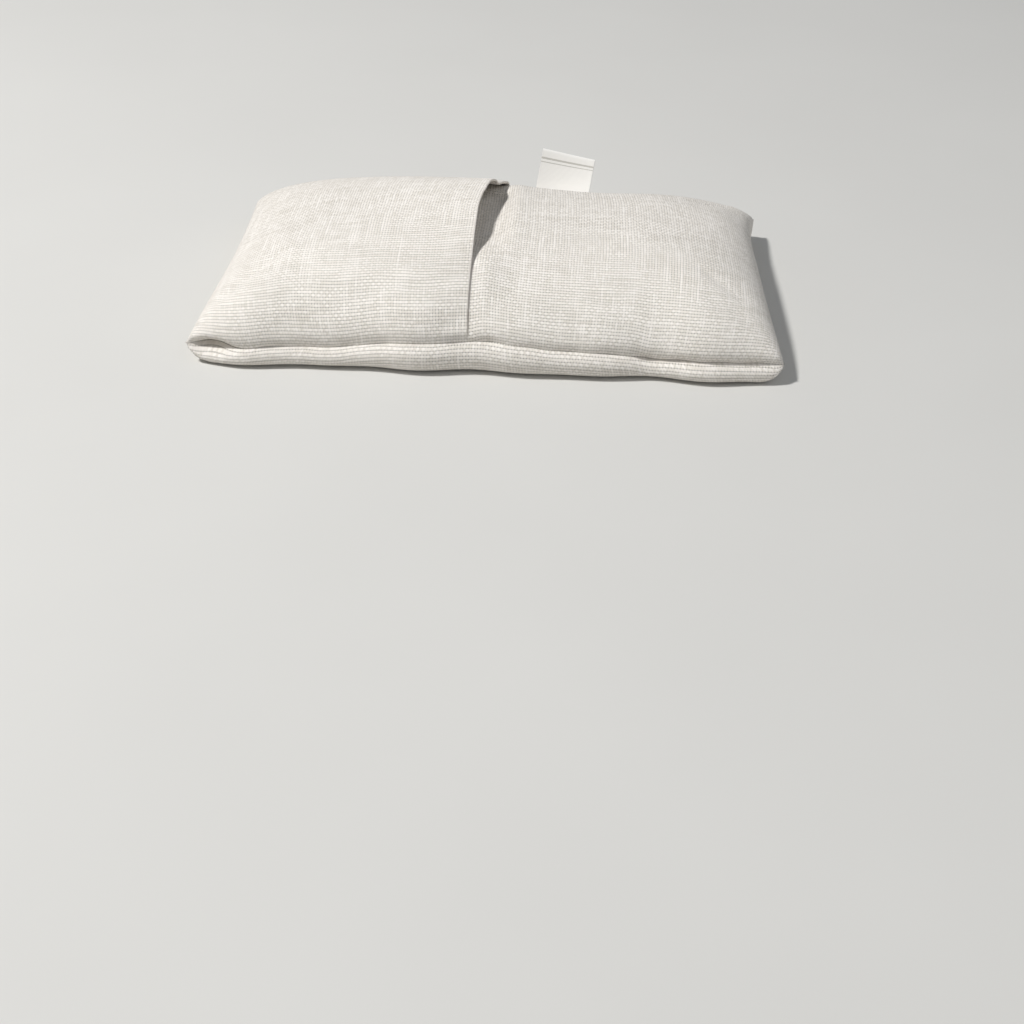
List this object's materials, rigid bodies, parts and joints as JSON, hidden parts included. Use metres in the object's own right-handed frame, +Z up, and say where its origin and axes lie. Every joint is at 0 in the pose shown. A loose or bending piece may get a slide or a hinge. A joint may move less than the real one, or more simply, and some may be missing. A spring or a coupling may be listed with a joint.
{
  "type": "eye pillow",
  "caption": "Flat rectangular eye pillow: seed-filled pouch in a linen envelope cover whose two flaps overlap across the top, with a folded ribbon label in the back seam.",
  "frame": {"origin": "middle of the flat underside, on the surface the pillow lies on", "axes": "+X along the two long sewn seams, +Y from the front seam to the back seam that holds the label, +Z up through the crown"},
  "size_m": [0.21, 0.1227, 0.0327],
  "materials": {
    "linen": "washed oatmeal linen in an open plain weave",
    "sewing_thread": "spun polyester sewing thread",
    "label_ribbon": "smooth cream cotton ribbon",
    "pouch_cotton": "unbleached cotton muslin",
    "flaxseed": "loose brown flaxseed with dried lavender"
  },
  "bodies": {
    "cover": {"linen_bottom_panel": "linen", "front_seam_allowance": "linen", "back_seam_allowance": "linen", "front_seam_thread": "sewing_thread", "back_seam_thread": "sewing_thread"},
    "upper_flap": {"upper_flap_panel": "linen", "upper_flap_hem_thread": "sewing_thread"},
    "lower_flap": {"lower_flap_panel": "linen", "lower_flap_hem_thread": "sewing_thread"},
    "label": {"label_ribbon": "label_ribbon"},
    "insert": {"pouch_top_panel": "pouch_cotton", "pouch_bottom_panel": "pouch_cotton", "pouch_seam_thread": "sewing_thread", "pouch_closing_stitch": "sewing_thread", "flaxseed_filling": "flaxseed"}
  },
  "joints": [
    {"name": "upper_flap_lift", "type": "hinge", "parent": "cover", "child": "upper_flap", "pos_m": [-0.102, 0, 0.00982], "axis": [0, -1, 0], "range_deg": [0, 10]},
    {"name": "lower_flap_lift", "type": "hinge", "parent": "cover", "child": "lower_flap", "pos_m": [0.102, 0, 0.00982], "axis": [0, 1, 0], "range_deg": [0, 3]},
    {"name": "label_flip", "type": "hinge", "parent": "cover", "child": "label", "pos_m": [0.0205, 0.05756, 0.009], "axis": [1, 0, 0], "range_deg": [-75, 15], "stiffness_Nm_per_rad": 0.001},
    {"name": "insert_out", "type": "slide", "parent": "cover", "child": "insert", "axis": [0, 0, 1], "range_m": [0, 0.07], "deforming": ["upper_flap_panel", "upper_flap_hem_thread", "lower_flap_panel", "lower_flap_hem_thread"]}
  ],
  "couplings": [
    {"joint": "lower_flap_lift", "follows": "upper_flap_lift", "ratio": 0.3}
  ]
}
